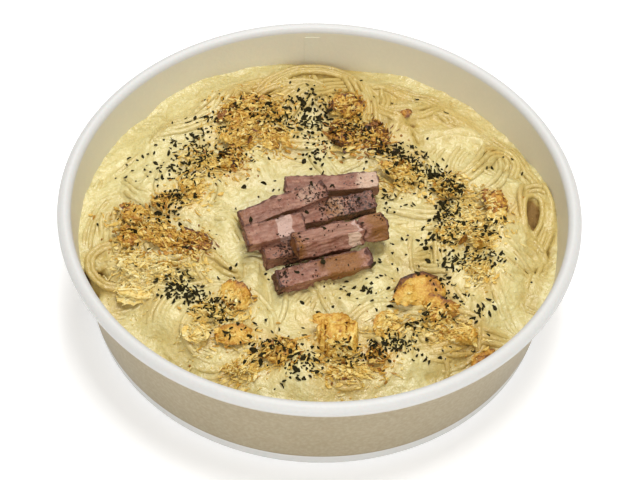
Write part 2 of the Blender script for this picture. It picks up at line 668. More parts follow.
def stamp(raster, path, reach, height_at):
    """Raises the raster along a path to what height_at gives for squared distances from it."""
    cells = int(reach / CELL) + 1
    steps = np.arange(-cells, cells + 1)
    columns = np.rint((path[:, 0] + HALF) / CELL).astype(int)[:, None, None] + steps[None, None, :]
    rows = np.rint((path[:, 1] + HALF) / CELL).astype(int)[:, None, None] + steps[None, :, None]
    columns = np.clip(columns, 0, side_cells - 1)
    rows = np.clip(rows, 0, side_cells - 1)
    away = (lines[columns] - path[:, 0, None, None]) ** 2 + (lines[rows] - path[:, 1, None, None]) ** 2
    heights = height_at(away)
    rows = np.broadcast_to(rows, heights.shape)
    columns = np.broadcast_to(columns, heights.shape)
    np.maximum.at(raster, (rows.ravel(), columns.ravel()), heights.ravel())


def press_in(top, path, z):
    """Raises the raster where a strand lies on it."""
    stamp(top, path, STRAND, lambda away: np.where(
        away < STRAND ** 2, z[:, None, None] + np.sqrt(np.maximum(STRAND ** 2 - away, 0.0)), -HALF))


def loose_path(draws):
    """A strand's way through the heap: a long curl whose bend drifts."""
    distance = LOOSE_REACH * math.sqrt(draws.uniform(0.02, 1.0))
    angle = draws.uniform(0.0, math.tau)
    length = draws.uniform(*LOOSE_LENGTHS)
    count = int(length / (STRAND_STEP / 2))
    bend = draws.choice((-1.0, 1.0)) / draws.uniform(*LOOSE_BENDS)
    drift = draws.uniform(-0.5, 0.5) * bend
    share = np.linspace(-1.0, 1.0, count)
    heading = draws.uniform(0.0, math.tau) + np.cumsum(bend + drift * share) * STRAND_STEP / 2
    steps = np.column_stack([np.cos(heading), np.sin(heading)]) * STRAND_STEP / 2
    path = np.cumsum(steps, axis=0)
    middle = np.array([distance * math.cos(angle), distance * math.sin(angle)])
    return path - path[count // 2] + middle


def dive(count, depth):
    """How far the ends of a strand go down into the heap, in count steps."""
    from_end = np.minimum(np.arange(count), np.arange(count)[::-1]) * STRAND_STEP / 2
    return -depth * np.exp(-(from_end / DIVE_REACH) ** 2)


def sway(count, longest, draws):
    """How a strand wavers from side to side along its way, from -1 to 1."""
    return np.sin(np.arange(count) / draws.uniform(14.0, longest) + draws.uniform(0.0, math.tau))


draws = np.random.default_rng(HEAP_SEED)
level = food_level()
top = level - 4.5
strands = []
for _ in range(LOOSE_BUNDLES):
    guide = loose_path(draws)
    for number in range(draws.integers(2, 6)):
        waver = draws.uniform(0.2, 0.6) * sway(len(guide), 40.0, draws)
        path = beside(guide, number * PITCH * 1.02 + waver)
        path = keep_in_bowl(path, 30.0)
        z = smooth_line(sample(top, path[:, 0], path[:, 1]), 6) + STRAND * 0.75
        z = smooth_line(z + dive(len(z), LOOSE_DIVE), 4)
        z -= WALL_DIP * np.clip((np.hypot(path[:, 0], path[:, 1]) - WALL_DIP_FROM) / 6.0, 0.0, 1.0)
        path = keep_in_bowl(path, z)
        press_in(top, path, z)
        strands.append((path, z))
shift = blur(top - level, 7.0) + 0.35
top = np.maximum(top - shift, level - DEEPEST)
strands = [(path, z - sample(shift, path[:, 0], path[:, 1])) for path, z in strands]

pit = np.zeros_like(level)
for x, y, reach_x, reach_y, depth, dark in HOLES:
    hole = patch(x, y, reach_x, reach_y)
    pit = np.maximum(pit, dark * np.minimum(3.2 * hole, 1.0))
    top -= depth * hole
    strands = [(path, z - 1.2 * depth * sample(hole, path[:, 0], path[:, 1]))
               for path, z in strands]

bareness = np.zeros_like(level)
for count, step, lift, bare, points in BUNDLES:
    guide = along_curve(points, STRAND_STEP / 2)
    for number in range(count):
        waver = 0.25 * sway(len(guide), 34.0, draws)
        path = beside(guide, number * step + waver)
        path = keep_in_bowl(path, 34.0)
        z = sample(level, path[:, 0], path[:, 1]) + lift - STRAND + draws.uniform(-0.2, 0.2)
        resting = smooth_line(sample(top, path[:, 0], path[:, 1]), 8) - STRAND * 0.4
        z = smooth_line(np.maximum(z, resting) + dive(len(z), BUNDLE_DIVE), 6)
        path = keep_in_bowl(path, z)
        press_in(top, path, z)
        stamp(bareness, path, BARE_REACH, lambda away: bare * np.exp(-(away / 4.0) ** 2))
        strands.append((path, z))

groove = np.zeros_like(level)
for width, depth, points in CLEFTS:
    path = along_curve(points, CELL)
    from_end = np.minimum(np.arange(len(path)), np.arange(len(path))[::-1])
    ends = np.minimum(1.0, from_end * CELL / 2.0)[:, None, None]
    stamp(groove, path, 2.0 * width, lambda away: depth * ends * np.exp(-away / width ** 2))

# The cream: the strands' own relief, blurred more where it is thick, and lower where it is thin.
cover = MOST_COVER + 0.05 * lumps(5.0, draws)
for x, y, reach, amount in THIN_PATCHES:
    cover -= amount * patch(x, y, reach, reach)
cover = blur(np.clip(cover * (1.0 - bareness), 0.0, 1.0), 0.7)
sharp = blur(top, SHARP_BLUR)
soft = blur(top, SOFT_BLUR)
broad = blur(top, BROAD_BLUR)
bare = np.clip(1.0 - cover / THIN, 0.0, 1.0)
thick = np.clip((cover - THIN) / (1.0 - THIN), 0.0, 1.0)
faint = np.clip(1.0 - (0.95 + 0.15 * lumps(6.0, draws)) * thick, 0.05, 1.0)
surface = sharp * bare + (broad + (soft - broad) * faint) * (1.0 - bare)
surface += np.interp(cover, COVER_STEPS, COVER_LEVELS)
surface += sum(height * lumps(width, draws) for height, width in CREAM_LUMPS) * cover
surface -= groove
wall_distance = wall_middle(surface) - PAPER / 2 - grid_radius
surface += WALL_CREEP * np.exp(-np.maximum(wall_distance, 0.0) / WALL_CREEP_REACH)
hollow = 0.36 * np.clip((blur(surface, 1.5) - surface) / 0.8, 0.0, 1.0)
hollow = np.maximum(hollow, np.clip((level - surface - 1.0) / 3.0, 0.0, 0.78))
hollow = np.maximum(hollow, pit)
hollow = np.maximum(hollow, np.clip(groove / 3.0, 0.0, 1.0))

# Oil and crumbs from the fried pieces tint the cream round them.
stain = np.zeros_like(level)
for x, y, reach_x, reach_y, amount in OIL:
    stain = np.maximum(stain, amount * patch(x, y, reach_x, reach_y))
for name in nodes:
    if name.startswith("crisp"):
        low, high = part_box(name)
        middle = (low + high) / 2 / MM
        reach = (high - low).xy.length / MM / 2
        stain = np.maximum(stain, patch(middle.x, middle.y, OIL_REACH * reach, OIL_REACH * reach))
stain = np.clip(stain * (0.8 + 0.3 * lumps(3.0, draws)), 0.0, 1.0)


def carry(obj, name, values):
    """Stores one value for each vertex of a piece, for its material."""
    attribute = obj.data.attributes.new(name, "FLOAT", "POINT")
    attribute.data.foreach_set("value", np.asarray(values, np.float32))


def points_of(obj):
    """The places of an object's vertices in millimetres."""
    flat = np.empty(len(obj.data.vertices) * 3, np.float32)
    obj.data.vertices.foreach_get("co", flat)
    return flat.reshape(-1, 3).astype(float) / MM


def move_points(obj, points):
    obj.data.vertices.foreach_set("co", (points * MM).astype(np.float32).ravel())
    obj.data.update()


def food_material():
    """Cooked pasta under cream: paler and more matt where the cream is thick."""
    food = Finish("spaghetti and cream", {"Subsurface Weight": 0.12, "Subsurface Scale": 0.0015,
                                          "Subsurface Radius": (1.0, 0.7, 0.35),
                                          "Specular IOR Level": 0.75})
    thick = food.vertex("cover")
    deep = food.vertex("hollow")
    oil = food.vertex("stain")
    streaks = food.noise(2.6, 3.0)
    clouds = food.noise(9.0, 3.0)
    curds = food.noise(1.4, 3.0)
    pasta = food.mix(streaks, linear(183, 156, 84), linear(199, 177, 104))
    cream = food.mix(food.rise(clouds, 0.3, 0.7), linear(209, 196, 136), linear(221, 210, 155))
    cream = food.mix(food.rise(curds, 0.35, 0.65), linear(207, 191, 127), cream)
    colour = food.mix(food.rise(thick + streaks * 0.4, 0.5, 1.05), pasta, cream)
    colour = food.mix(oil * 0.72, colour, linear(202, 163, 82))
    colour = food.mix(food.rise(deep, 0.02, 0.45) * 0.75, colour, linear(196, 170, 92))
    colour = food.mix(food.rise(deep, 0.45, 0.75), colour, linear(140, 104, 38))
    colour = food.mix(food.rise(deep, 0.8, 1.0) * 0.9, colour, linear(62, 42, 14))
    grains = food.noise(0.6, 2.0)
    roughness = 0.18 + grains * 0.28 + food.rise(deep, 0.4, 0.75) * 0.5
    normal = food.bump(curds, 0.6, food.bump(grains, 0.14))
    return food.use(colour, roughness, normal)


def add_surface():
    """One closed body: a fine grid bent to the bowl's round, with its rim drawn down to the base."""
    bpy.ops.mesh.primitive_grid_add(x_subdivisions=SURFACE_CELLS, y_subdivisions=SURFACE_CELLS,
                                    size=2.0)
    body = bpy.context.object
    body.name = "spaghetti_in_cream"
    only(body)
    bpy.ops.object.mode_set(mode="EDIT")
    bpy.ops.mesh.select_all(action="DESELECT")
    bpy.ops.mesh.select_mode(type="EDGE")
    bpy.ops.mesh.select_non_manifold()
    bpy.ops.mesh.extrude_edges_move(TRANSFORM_OT_translate={"value": (0.0, 0.0, -1.0)})
    bpy.ops.mesh.edge_face_add()
    bpy.ops.object.mode_set(mode="OBJECT")
    square = points_of(body) * MM
    below = square[:, 2] < -0.5
    u, v = square[:, 0], square[:, 1]
    larger = np.maximum(np.abs(u), np.abs(v))
    smaller = np.minimum(np.abs(u), np.abs(v))
    turn = np.where(larger > 1e-6, smaller / np.maximum(larger, 1e-6), 0.0) * math.pi / 4
    turn = np.where(np.abs(v) > np.abs(u), math.pi / 2 - turn, turn)
    turn = np.arctan2(np.sin(turn) * np.sign(v), np.cos(turn) * np.sign(u + (u == 0)))
    z = np.full(len(square), FOOD_FLOOR)
    for _ in range(3):
        reach = wall_middle(z) - PAPER / 2 + 0.1
        x = larger * reach * np.cos(turn)
        y = larger * reach * np.sin(turn)
        z = np.where(below, FOOD_FLOOR, sample(surface, x, y))
    move_points(body, np.column_stack([x, y, z]))
    carry(body, "cover", sample(cover, x, y))
    carry(body, "hollow", np.where(below, 0.0, sample(hollow, x, y)))
    carry(body, "stain", sample(stain, x, y))
    only(body)
    bpy.ops.object.mode_set(mode="EDIT")
    bpy.ops.mesh.select_all(action="SELECT")
    bpy.ops.mesh.normals_make_consistent(inside=False)
    bpy.ops.object.mode_set(mode="OBJECT")
    smooth(body, HEAP_SHARP_ANGLE)
    return body


def showing(path, z):
    """The stretches of a strand that stand out of the cream, with a little more at each end."""
    spare = 3
    out = z + STRAND - sample(surface, path[:, 0], path[:, 1]) > SHOWS_FROM
    wide = np.convolve(out, np.ones(2 * spare + 1), mode="same") > 0
    starts = np.flatnonzero(wide & ~np.concatenate([[False], wide[:-1]]))
    ends = np.flatnonzero(wide & ~np.concatenate([wide[1:], [False]]))
    return [(start, end + 1) for start, end in zip(starts, ends) if end - start > 4 * spare]


def tube(path, z):
    """Rings of points round a strand with pointed ends, and the faces between them."""
    middle = np.column_stack([path, z])
    ahead = np.gradient(middle, axis=0)
    ahead /= np.linalg.norm(ahead, axis=1)[:, None]
    across = np.cross(ahead, (0.0, 0.0, 1.0))
    across /= np.linalg.norm(across, axis=1)[:, None]
    upwards = np.cross(across, ahead)
    turns = np.arange(STRAND_SIDES) * math.tau / STRAND_SIDES
    girth = np.full(len(middle), STRAND)
    girth[[0, -1]] *= 0.5
    ring = (across[:, None, :] * np.cos(turns)[None, :, None]
            + upwards[:, None, :] * np.sin(turns)[None, :, None]) * girth[:, None, None]
    points = (middle[:, None, :] + ring).reshape(-1, 3)
    faces = []
    for row in range(len(middle) - 1):
        for side in range(STRAND_SIDES):
            after = (side + 1) % STRAND_SIDES
            faces.append((row * STRAND_SIDES + after, row * STRAND_SIDES + side,
                          (row + 1) * STRAND_SIDES + side, (row + 1) * STRAND_SIDES + after))
    faces.append(tuple(range(STRAND_SIDES)))
    last = (len(middle) - 1) * STRAND_SIDES
    faces.append(tuple(range(last, last + STRAND_SIDES))[::-1])
    return points, faces


def quarter(path):
    """The name of the part of the heap in which a strand's middle lies."""
    x, y = path[len(path) // 2]
    if math.hypot(x, y) < 50.0:
        return "middle"
    angle = math.degrees(math.atan2(y, x)) % 360.0
    return ("right", "back", "left", "front")[int(((angle + 45.0) % 360.0) // 90.0)]


spaghetti_and_cream = food_material()
heap = add_surface()
dress(heap, spaghetti_and_cream, "noodles", "pasta", "cream")

parts = {}
for path, z in strands:
    for start, end in showing(path, z):
        run = slice(start, end, 2)
        if len(path[run]) < 4:
            continue
        points, faces = tube(path[run], z[run])
        held = parts.setdefault(quarter(path[run]), ([], []))
        first = sum(len(block) for block in held[0])
        held[0].append(points)
        held[1].extend(shifted(faces, first))
strand_pieces = []
for name, (blocks, faces) in sorted(parts.items()):
    points = np.vstack(blocks)
    strand_piece = add_piece("spaghetti_" + name, points, faces)
    x, y, z = points.T
    carry(strand_piece, "cover", 0.75 * sample(cover, x, y))
    buried = np.clip((sample(blur(top, 1.2), x, y) - z - 0.5) / 2.0, 0.0, 0.8)
    in_pit = sample(pit, x, y) * np.clip((sample(level, x, y) - z - 0.4) / 1.5, 0.0, 1.0)
    carry(strand_piece, "hollow", np.maximum(buried, in_pit))
    carry(strand_piece, "stain", sample(stain, x, y))
    smooth(strand_piece)
    dress(strand_piece, spaghetti_and_cream, "noodles")
    strand_pieces.append(strand_piece)


# Bacon ------------------------------------------------------------------------------------------
# Thick bacon cut into sticks and seared: brown-pink meat with bands of pale fat, browned along the
# cut edges and darkest at the ends. The sticks are stacked crosswise on the cream.

BACON_GRAIN = 0.36           # size of the cells that the sticks are made of
EDGE_WIDTH = 0.75            # of the browned line along each edge
EDGE_CURL = 0.4              # how far the edges stand out
FACE_SINK = 0.35             # how far the faces between them sink in
CORNER_ROUND = 0.8           # how far the long upper edge at the front is worn down

# How far each stick's meat swells over its solid, how far its ends bend up, its roll towards the
# front in degrees, and what it shows: the kind of mark, its middle and half width along the stick
# (-1 is its left end and 1 its right end), the face that it is on, and its strength.
BACON = {
    "bacon_1": (0.2, 0.9, 12, (("fat", 0.85, 0.3, "top", 0.7), ("sear", 0.35, 0.6, "front", 0.5),
                           ("pepper", 0.5, 0.3, "top", 0.5), ("char", -1.0, 0.04, "all", 0.7))),
    "bacon_2": (0.4, 0.0, 18, (("gold", -0.95, 0.3, "all", 0.5), ("fat", 0.62, 0.26, "top", 0.4),
                           ("pepper", 0.66, 0.35, "all", 0.8), ("char", 0.99, 0.05, "all", 0.9))),
    "bacon_3": (1.0, 0.0, 10, (("gold", -0.05, 0.3, "all", 0.7), ("fat", 0.0, 0.16, "top", 0.6),
                           ("pepper", 0.4, 0.8, "all", 1.3), ("char", 0.66, 0.45, "all", 0.6))),
    "bacon_4": (0.4, 0.0, 18, (("white", 0.36, 0.26, "all", 1.0), ("gold", -0.95, 0.2, "all", 0.5),
                           ("char", -1.0, 0.04, "all", 0.8), ("pepper", 0.7, 0.3, "front", 0.8))),
    "bacon_5": (0.5, 0.0, -16, (("gold", -0.95, 0.18, "all", 0.7), ("fat", -0.1, 0.6, "top", 0.3),
                           ("fat", 0.24, 0.13, "front", 0.9), ("white", 0.38, 0.05, "top", 0.8),
                           ("tear", 0.5, 0.04, "all", 1.0), ("gold", 0.9, 0.34, "all", 0.9),
                           ("sear", 0.75, 0.3, "all", 0.5))),
    "bacon_6": (0.6, 0.0, 4, (("sear", -0.2, 0.9, "all", 0.5), ("pepper", -0.35, 0.5, "all", 1.3),
                           ("fat", -0.35, 0.25, "top", 0.3))),
    "bacon_7": (0.4, 0.0, 24, (("char", -0.98, 0.05, "all", 1.0), ("pepper", -0.86, 0.16, "all", 1.0),
                           ("gold", 0.4, 0.5, "all", 1.0), ("sear", 0.35, 0.5, "all", 0.75),
                           ("char", 0.99, 0.05, "all", 1.0), ("sear", 0.4, 0.9, "front", 0.4))),
}
MARKS = ("fat", "white", "sear", "gold", "char", "pepper", "tear")
CLEAN_EDGED = ("white", "fat")
TEAR_DEPTH = 1.0


def remesh(obj, grain):
    """Rebuilds a closed mesh from even cells, so that it can be roughened all over."""
    voxels = obj.modifiers.new("even", "REMESH")
    voxels.mode = "VOXEL"
    voxels.voxel_size = grain * MM
    voxels.use_smooth_shade = True
    apply_modifiers(obj)


def normals_of(obj):
    """Which way each vertex of an object faces."""
    flat = np.empty(len(obj.data.vertices) * 3, np.float32)
    obj.data.vertex_normals.foreach_get("vector", flat)
    return flat.reshape(-1, 3).astype(float)


def noise_at(points, size, seed):
    """Smooth noise from -1 to 1 at each point, its lumps about size millimetres across."""
    offset = Vector((seed * 7.3, seed * 3.1, seed * 5.7))
    return np.array([noise.noise(Vector(point) / size + offset) for point in points])


def own_axes(points):
    """A stick's middle and its directions along, across and up, from its own points."""
    middle = points.mean(axis=0)
    along = np.linalg.svd(points - middle, full_matrices=False)[2][0]
    along *= np.sign(along[0])
    across = np.cross((0.0, 0.0, 1.0), along)
    across /= np.linalg.norm(across)
    return middle, np.array([along, across, np.cross(along, across)])


def bacon_material():
    """Seared bacon: lean and fat, browned where it touched the pan."""
    bacon = Finish("seared bacon", {"Subsurface Weight": 0.1, "Subsurface Scale": 0.001,
                                    "Subsurface Radius": (1.0, 0.45, 0.3)})
    grain = bacon.vertex("grain")
    fine = bacon.noise(0.7, 4.0)
    blotches = bacon.noise(2.2, 4.0)
    lean = bacon.mix(grain, linear(124, 80, 61), linear(182, 134, 110))
    lean = bacon.mix(bacon.rise(blotches, 0.42, 0.66) * 0.7, lean, linear(134, 80, 58))
    fat = bacon.mix(fine, linear(188, 152, 126), linear(212, 182, 156))
    brown = bacon.mix(blotches, linear(92, 48, 24), linear(160, 104, 62))
    golden = bacon.mix(fine, linear(100, 56, 18), linear(166, 112, 54))
    dark = bacon.mix(fine, linear(48, 20, 10), linear(106, 58, 38))
    colour = lean
    for mark, speckle, low, high, tone in (
            ("fat", blotches * 0.7, 0.6, 1.0, fat),
            ("white", fine * 0.3, 0.5, 0.8, linear(190, 156, 140)),
            ("sear", fine * 0.6, 0.55, 1.1, brown),
            ("gold", blotches * 0.9, 0.7, 1.25, golden),
            ("char", fine * 0.6, 0.6, 1.05, dark)):
        colour = bacon.mix(bacon.rise(bacon.vertex(mark) + speckle, low, high), colour, tone)
    edges = bacon.rise(bacon.vertex("edge") + blotches * 0.6, 0.7, 1.05) * 0.9
    colour = bacon.mix(edges, colour, dark)
    specks = bacon.rise(bacon.noise(0.9, 3.0) + bacon.vertex("pepper") * 0.13, 0.66, 0.7)
    colour = bacon.mix(specks * 0.85, colour, linear(44, 26, 18))
    roughness = 0.26 + fine * 0.3
    normal = bacon.bump(fine + grain * 0.6, 0.5)
    return bacon.use(colour, roughness, normal)


seared_bacon = bacon_material()
for number, (name, (swell, bend, roll, marks)) in enumerate(BACON.items()):
    middle, axes = own_axes(points_of(nodes[name]))
    half = np.abs((points_of(nodes[name]) - middle) @ axes.T).max(axis=0) + swell
    bpy.ops.mesh.primitive_cube_add(size=2.0)
    stick = bpy.context.object
    stick.name = name + "_stick"
    stick.data.transform(Matrix.Diagonal((*(half * MM), 1.0)))
    remesh(stick, BACON_GRAIN)
    own = points_of(stick)
    facing = normals_of(stick)
    share = own[:, 0] / half[0]
    from_edge = np.sort(half - np.abs(own), axis=1)[:, 1]
    fibres = noise_at(own / (4.0, 1.0, 1.0), 0.9, number)
    ridges = noise_at(own / (2.5, 1.0, 1.0), 2.4, number + 20)
    pits = noise_at(own, 0.8, number + 40)
    wobble = noise_at(own, 6.0, number + 80)
    ragged = noise_at(own, 1.6, number + 100)
    edge = np.exp(-(from_edge / EDGE_WIDTH) ** 2) * (0.75 + 0.5 * ragged)
    towards = np.clip(-own[:, 1] / half[1], 0.0, 1.0) * np.clip(own[:, 2] / half[2], 0.0, 1.0)
    edge *= 1.0 - 0.5 * towards ** 2 * (half[0] - np.abs(own[:, 0]) > 2.0 * EDGE_WIDTH)
    spot_share = share + 0.10 * noise_at(own, 2.5, number + 60)
    faces = {"all": np.ones(len(own)), "top": np.clip(1.6 * facing[:, 2], 0.0, 1.0),
             "front": np.clip(-1.6 * facing[:, 1], 0.0, 1.0)}
    amounts = {kind: np.zeros(len(own)) for kind in MARKS}
    for kind, spot, width, face, amount in marks:
        sharpness = 6 if kind in CLEAN_EDGED else 2
        mark = amount * faces[face] * np.exp(-np.abs((spot_share - spot) / width) ** sharpness)
        amounts[kind] = np.maximum(amounts[kind], mark)
    sunk = 1.0 - np.exp(-(from_edge / 1.2) ** 2)
    lift = EDGE_CURL * edge * (1.0 + 1.2 * ragged) - FACE_SINK * sunk
    lift -= CORNER_ROUND * towards ** 4
    lift += 0.14 * fibres + 0.24 * ridges + 0.8 * wobble - 0.3 * np.maximum(pits - 0.25, 0.0)
    lift -= TEAR_DEPTH * amounts["tear"]
    own += facing * lift[:, None]
    own[:, 2] += bend * share ** 2
    own = own @ np.array(Matrix.Rotation(math.radians(roll), 3, "X")).T
    move_points(stick, middle + own @ axes)
    amounts["char"] = np.maximum(amounts["char"], 0.8 * amounts.pop("tear"))
    for kind, values in amounts.items():
        carry(stick, kind, values)
    carry(stick, "edge", edge)
    carry(stick, "grain", np.clip(0.5 + 0.6 * fibres + 0.4 * ridges, 0.0, 1.0))
    smooth(stick)
    dress(stick, seared_bacon, "bacon", name)


# Fried crisps -----------------------------------------------------------------------------------
# Shreds of cheese and batter fried until they clump: flat crumpled bodies with curled chips lying
# over them, and slivers and shards on and round them. Those that fell in the cream are pale and
# wet, most are golden, and a few are toasted red-brown.

CRISP_GRAIN = 0.45
CRISP_SPREAD = 1.22          # the clumps run into each other over the gaps between their solids
CRISP_FLATNESS = 0.8
CRISP_SINK = 0.6             # how far the clumps press into the cream
SPILL = 2.4                  # how far shards lie round a clump
FRONT_SPILL = 1.0            # and how much farther they slid down towards the front
CHIP_TAPER = 0.55
CHIP_THICKNESS = 0.035       # as a share of the size that the chip is given
SMALLEST_CHIP = (3.6, 2.0, 4.0)
LARGEST_CHIP = (7.4, 4.0, 8.0)
SHARD_TAPER = 0.7
SHARD_THICKNESS = 0.14
SLIVERS = 0.55               # share of the bits that are long and narrow
LONGEST_BIT = 3.2
CRISP_SEED = 23
FARTHEST_BIT = 83.5          # from the middle, where bits come to rest
BIT_ROUGHNESS = 0.05
ROUGH_UP_TO = 5.0            # bits thicker than this are no rougher
ON_SIDES = 0.65              # shards on a clump's steep sides, as a share of those dropped on it

# How toasted each clump is, from 0 for pale and wet to 1 for dark brown, the shards that lie on
# it and round it, the chips over it, how deep its crumples are, and which way its shreds run.
CRISPS = {
    "crisp_01": (0.47, 230, 8, 1.0, 20), "crisp_02": (0.43, 130, 4, 1.0, 60),
    "crisp_03": (0.49, 120, 4, 1.0, -40), "crisp_04": (0.60, 80, 4, 0.8, 70),
    "crisp_05": (0.76, 95, 3, 1.0, -30), "crisp_06": (0.80, 110, 3, 1.0, 40),
    "crisp_07": (0.39, 80, 3, 0.9, 0), "crisp_08": (0.64, 100, 4, 1.0, -50),
    "crisp_09": (0.43, 90, 4, 0.9, 30), "crisp_10": (0.55, 80, 3, 0.9, -30),
    "crisp_11": (0.49, 14, 1, 0.6, 60), "crisp_12": (0.53, 80, 3, 1.0, -30),
    "crisp_13": (0.59, 110, 3, 1.0, -35), "crisp_14": (0.73, 120, 3, 1.0, -35),
    "crisp_15": (0.24, 110, 4, 0.8, 0), "crisp_16": (0.28, 75, 2, 0.9, 20),
    "crisp_17": (0.16, 20, 0, 0.4, 10), "crisp_18": (0.47, 60, 1, 0.6, 60),
    "crisp_19": (0.34, 65, 2, 0.8, 20), "crisp_20": (0.51, 40, 0, 0.7, 0),
    "crisp_21": (0.22, 50, 2, 0.7, 10), "crisp_22": (0.57, 110, 4, 1.0, 60),
    "crisp_23": (0.38, 90, 3, 0.9, 50), "crisp_24": (0.41, 130, 3, 0.9, 0),
    "crisp_25": (0.68, 35, 1, 0.8, 0), "crisp_26": (0.41, 60, 2, 0.8, 60),
    "crisp_27": (0.50, 2, 0, 0.4, 30), "crisp_28": (0.51, 45, 1, 0.8, 0),
    "crisp_29": (0.41, 80, 3, 0.8, 0), "crisp_30": (0.32, 90, 2, 0.9, 50),
    "crisp_31": (0.62, 10, 0, 0.4, 90), "crisp_32": (0.34, 130, 3, 1.0, 40),
    "crisp_33": (0.38, 130, 3, 1.0, 0), "crisp_34": (0.41, 130, 4, 0.9, -20),
    "crisp_35": (0.43, 130, 3, 0.9, -30), "crisp_36": (0.57, 5, 0, 0.4, 40),
    "crisp_block": (0.36, 25, 0, 0.8, 0),
}

# Single chips that stand out: the clump they belong to, where they are and how high their middle is
# over the cream, length and width, heading and tilt in degrees, how far the ends curl up, how
# toasted they are, and how much more so along their far edge.
CHIPS = (
    ("crisp_27", (36.2, -33.8, 3.6), 16.5, 14.0, 22.0, -24.0, -0.24, 0.46, 0.5),
    ("crisp_27", (31.2, -37.0, 3.2), 10.0, 6.5, 38.0, -24.0, -0.12, 0.44, 0.2),
    ("crisp_27", (40.6, -39.4, 2.6), 9.5, 6.0, -24.0, -20.0, -0.16, 0.52, 0.3),
    ("crisp_31", (62.8, 9.8, 3.0), 13.0, 9.0, 110.0, -18.0, -0.10, 0.66, 0.1),
    ("crisp_block", (5.4, -49.8, 5.4), 12.5, 4.8, 4.0, -8.0, 0.10, 0.50, 0.0),
    ("crisp_31", (63.0, 3.0, 1.4), 9.0, 7.0, 95.0, 0.0, -0.10, 0.36, 0.0),
    ("crisp_17", (-61.8, -37.2, 1.5), 14.0, 7.0, 10.0, -8.0, -0.10, 0.14, 0.1),
    ("crisp_18", (-28.2, -38.2, 2.8), 11.0, 9.0, -25.0, -20.0, -0.16, 0.44, 0.35),
    ("crisp_20", (-27.0, -55.8, 2.8), 12.5, 8.0, 4.0, -12.0, -0.14, 0.52, 0.1),
    ("crisp_11", (-66.6, -0.4, 2.8), 10.5, 7.5, 118.0, -26.0, -0.12, 0.56, 0.3),
    ("crisp_14", (-41.8, -14.8, 2.2), 9.0, 6.0, -35.0, -16.0, -0.16, 0.76, 0.1),
    ("crisp_14", (-46.2, -11.4, 2.4), 8.0, 5.0, -20.0, -20.0, -0.18, 0.74, 0.2),
    ("crisp_13", (-54.6, -11.2, 2.0), 9.0, 4.6, -40.0, -18.0, -0.16, 0.66, 0.3),
    ("crisp_36", (57.8, -57.4, 1.6), 9.0, 4.6, 38.0, -26.0, -0.10, 0.46, 0.0),
    ("crisp_36", (56.0, -60.4, 0.8), 7.5, 3.6, 42.0, 20.0, -0.10, 0.90, 0.0),
    ("crisp_13", (-58.8, -14.6, 1.4), 9.5, 4.4, -30.0, 0.0, 0.10, 0.44, 0.1),
    ("crisp_12", (-67.6, -12.2, 1.2), 8.5, 5.0, 92.0, 0.0, -0.10, 0.46, 0.0),
    ("crisp_09", (-46.9, 10.6, 2.0), 9.0, 5.6, -22.0, -14.0, -0.14, 0.46, 0.1),
    ("crisp_28", (44.6, -41.6, 2.4), 10.0, 7.0, 20.0, -12.0, -0.16, 0.60, 0.1),
    ("crisp_29", (48.6, -50.4, 1.8), 13.5, 7.0, -6.0, -8.0, -0.10, 0.38, 0.2),
    ("crisp_26", (23.8, -47.8, 2.0), 10.5, 6.5, 64.0, -10.0, -0.16, 0.42, 0.1),
    ("crisp_25", (21.4, -60.6, 2.0), 7.0, 6.0, 20.0, -10.0, -0.16, 0.58, 0.1),
    ("crisp_04", (3.8, 55.2, 0.8), 8.0, 5.0, -20.0, 0.0, -0.12, 0.32, 0.1),
    ("crisp_05", (8.6, 36.4, 0.7), 12.0, 4.6, 6.0, 0.0, -0.10, 0.24, 0.0),
    ("crisp_04", (30.4, 53.6, 0.7), 5.6, 3.0, 30.0, -20.0, 0.0, 0.76, 0.0),
    ("crisp_24", (9.1, -70.4, 0.7), 8.0, 2.4, -6.0, 0.0, -0.05, 0.84, 0.0),
    ("crisp_21", (-39.6, -56.6, 1.2), 9.0, 7.5, 10.0, 0.0, 0.16, 0.14, 0.2),
)

# Clumps whose crumples run one way: the stretch of the crumples along x, y and z.
CRISP_STRETCH = {
    "crisp_block": (0.4, 3.4, 3.4), "crisp_20": (1.6, 1.0, 1.0), "crisp_27": (2.0, 2.0, 2.0),
}
USUAL_STRETCH = (1.8, 1.0, 1.0)

# Beds of loose bits on the cream: x, y, reach along and across their heading, the heading, how
# toasted they are and the number of bits.
BEDS = (
    (28.4, 22.0, 8.5, 4.5, -20, 0.40, 150), (54.3, 4.5, 9.0, 12.0, 0, 0.32, 420),
    (55.9, -20.8, 7.2, 7.0, 20, 0.30, 150), (30.6, -47.3, 9.0, 6.0, 20, 0.34, 200),
    (46.6, -46.4, 7.2, 5.0, 0, 0.36, 100), (14.0, -66.0, 9.5, 4.5, 0, 0.38, 240),
    (-23.2, -68.7, 6.5, 4.5, 30, 0.34, 150), (-11.3, -61.7, 6.5, 6.0, 40, 0.50, 120),
    (-38.5, -56.0, 5.2, 4.5, 0, 0.26, 70), (-29.4, -45.0, 5.5, 7.0, 60, 0.34, 110),
    (-37.2, -46.3, 5.0, 4.5, 0, 0.34, 80), (-56.0, -8.6, 16.0, 6.5, -25, 0.50, 420),
    (-60.6, -28.5, 9.0, 8.0, 0, 0.22, 320), (-44.3, -24.8, 6.5, 7.5, -30, 0.26, 90),
    (-38.9, 24.0, 11.0, 6.5, 0, 0.40, 200), (-46.9, 9.1, 6.0, 7.0, 50, 0.40, 110),
    (-25.3, 46.8, 12.0, 12.0, 0, 0.46, 420), (9.6, 48.9, 6.6, 9.5, 0, 0.44, 160),
    (17.0, 39.0, 7.5, 6.0, 0, 0.56, 130), (7.5, -61.5, 7.5, 4.0, 0, 0.36, 110),
    (47.3, 19.7, 6.6, 5.0, 0, 0.36, 110), (63.1, 0.2, 4.6, 7.0, 90, 0.30, 90),
)


